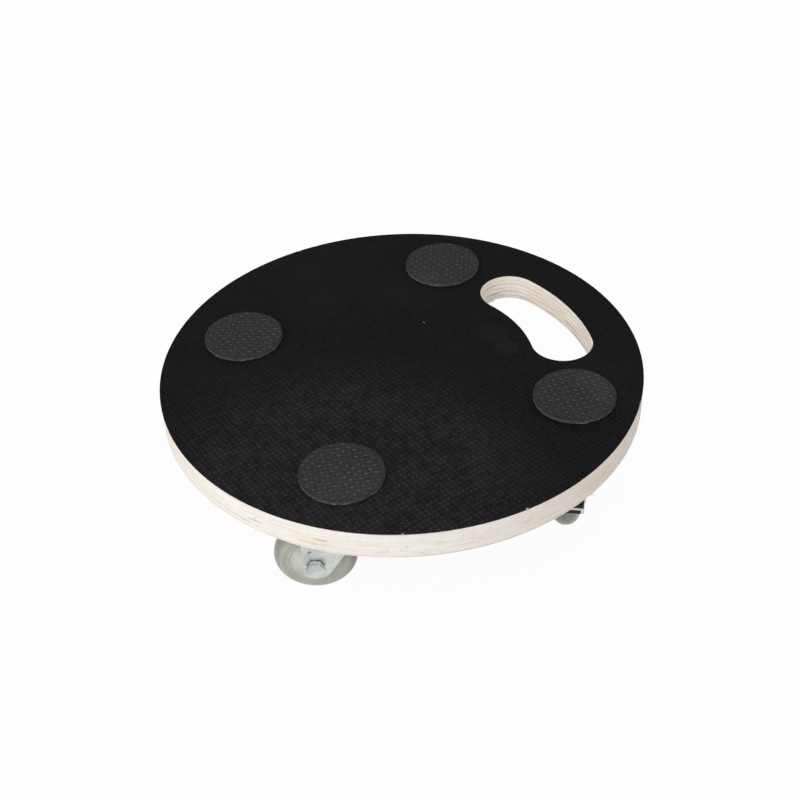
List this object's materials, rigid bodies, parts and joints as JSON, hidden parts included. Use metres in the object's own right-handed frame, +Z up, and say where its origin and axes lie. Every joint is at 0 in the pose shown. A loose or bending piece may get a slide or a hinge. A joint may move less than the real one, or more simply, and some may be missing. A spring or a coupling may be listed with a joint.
{
  "type": "round dolly",
  "caption": "Flat round plywood dolly with a curved hand slot, rubber grip discs on black film and swivel castors with clear wheels, some with foot brakes.",
  "frame": {"origin": "on the floor under the middle of the deck", "axes": "+Z up, +X from the middle of the deck to the grip slot, +Y to the left of it"},
  "size_m": [0.3, 0.3, 0.086],
  "materials": {
    "plywood": "sawn and sanded ply edge",
    "film": "embossed mesh, low sheen",
    "back_film": "clear film over the last veneer",
    "grip_rubber": "embossed, matt",
    "zinc_steel": "bright zinc plated pressing",
    "fastener_steel": "bright zinc plated",
    "ball_steel": "polished",
    "clear_tyre": "translucent, satin",
    "clear_core": "translucent, moulded",
    "black_plastic": "moulded",
    "shoe_rubber": "matt"
  },
  "bodies": {
    "deck": {"deck_board": "plywood", "top_film": "film", "bottom_film": "back_film", "front_left_grip_disc": "grip_rubber", "front_right_grip_disc": "grip_rubber", "rear_left_grip_disc": "grip_rubber", "rear_right_grip_disc": "grip_rubber", "front_left_mounting_plate": "zinc_steel", "front_left_plate_screws": "fastener_steel", "front_left_swivel_balls": "ball_steel", "front_left_race_cup": "zinc_steel", "front_left_kingpin": "fastener_steel", "front_right_mounting_plate": "zinc_steel", "front_right_plate_screws": "fastener_steel", "front_right_swivel_balls": "ball_steel", "front_right_race_cup": "zinc_steel", "front_right_kingpin": "fastener_steel", "rear_left_mounting_plate": "zinc_steel", "rear_left_plate_screws": "fastener_steel", "rear_left_swivel_balls": "ball_steel", "rear_left_race_cup": "zinc_steel", "rear_left_kingpin": "fastener_steel", "rear_right_mounting_plate": "zinc_steel", "rear_right_plate_screws": "fastener_steel", "rear_right_swivel_balls": "ball_steel", "rear_right_race_cup": "zinc_steel", "rear_right_kingpin": "fastener_steel"},
    "front_left_swivel": {"front_left_fork": "zinc_steel", "front_left_axle_sleeve": "fastener_steel", "front_left_axle_bolt": "fastener_steel", "front_left_axle_nut": "fastener_steel", "front_left_brake_pin": "fastener_steel"},
    "front_left_wheel": {"front_left_tyre": "clear_tyre", "front_left_wheel_core": "clear_core"},
    "front_left_brake": {"front_left_brake_lever": "zinc_steel", "front_left_brake_shoe": "shoe_rubber", "front_left_pedal_cap": "black_plastic"},
    "front_right_swivel": {"front_right_fork": "zinc_steel", "front_right_axle_sleeve": "fastener_steel", "front_right_axle_bolt": "fastener_steel", "front_right_axle_nut": "fastener_steel", "front_right_brake_pin": "fastener_steel"},
    "front_right_wheel": {"front_right_tyre": "clear_tyre", "front_right_wheel_core": "clear_core"},
    "front_right_brake": {"front_right_brake_lever": "zinc_steel", "front_right_brake_shoe": "shoe_rubber", "front_right_pedal_cap": "black_plastic"},
    "rear_left_swivel": {"rear_left_fork": "zinc_steel", "rear_left_axle_sleeve": "fastener_steel", "rear_left_axle_bolt": "fastener_steel", "rear_left_axle_nut": "fastener_steel"},
    "rear_left_wheel": {"rear_left_tyre": "clear_tyre", "rear_left_wheel_core": "clear_core"},
    "rear_right_swivel": {"rear_right_fork": "zinc_steel", "rear_right_axle_sleeve": "fastener_steel", "rear_right_axle_bolt": "fastener_steel", "rear_right_axle_nut": "fastener_steel"},
    "rear_right_wheel": {"rear_right_tyre": "clear_tyre", "rear_right_wheel_core": "clear_core"}
  },
  "joints": [
    {"name": "front_left_swivel_turn", "type": "hinge", "parent": "deck", "child": "front_left_swivel", "pos_m": [0.077, 0.077, 0.061], "axis": [0, 0, 1], "continuous": true},
    {"name": "front_left_wheel_roll", "type": "hinge", "parent": "front_left_swivel", "child": "front_left_wheel", "pos_m": [0.05888, 0.06855, 0.025], "axis": [0.4226, -0.9063, 0], "continuous": true},
    {"name": "front_left_brake_press", "type": "hinge", "parent": "front_left_swivel", "child": "front_left_brake", "pos_m": [0.05552, 0.06699, 0.0525], "axis": [0.4226, -0.9063, 0], "range_deg": [0, 12]},
    {"name": "front_right_swivel_turn", "type": "hinge", "parent": "deck", "child": "front_right_swivel", "pos_m": [0.077, -0.077, 0.061], "axis": [0, 0, 1], "continuous": true},
    {"name": "front_right_wheel_roll", "type": "hinge", "parent": "front_right_swivel", "child": "front_right_wheel", "pos_m": [0.06539, -0.09329, 0.025], "axis": [0.8141, -0.5807, 0], "continuous": true},
    {"name": "front_right_brake_press", "type": "hinge", "parent": "front_right_swivel", "child": "front_right_brake", "pos_m": [0.06324, -0.0963, 0.0525], "axis": [0.8141, -0.5807, 0], "range_deg": [0, 12]},
    {"name": "rear_left_swivel_turn", "type": "hinge", "parent": "deck", "child": "rear_left_swivel", "pos_m": [-0.077, 0.077, 0.061], "axis": [0, 0, 1], "continuous": true},
    {"name": "rear_left_wheel_roll", "type": "hinge", "parent": "rear_left_swivel", "child": "rear_left_wheel", "pos_m": [-0.09339, 0.06553, 0.025], "axis": [0.5736, -0.8192, 0], "continuous": true},
    {"name": "rear_right_swivel_turn", "type": "hinge", "parent": "deck", "child": "rear_right_swivel", "pos_m": [-0.077, -0.077, 0.061], "axis": [0, 0, 1], "continuous": true},
    {"name": "rear_right_wheel_roll", "type": "hinge", "parent": "rear_right_swivel", "child": "rear_right_wheel", "pos_m": [-0.09498, -0.06824, 0.025], "axis": [-0.4384, -0.8988, 0], "continuous": true}
  ]
}
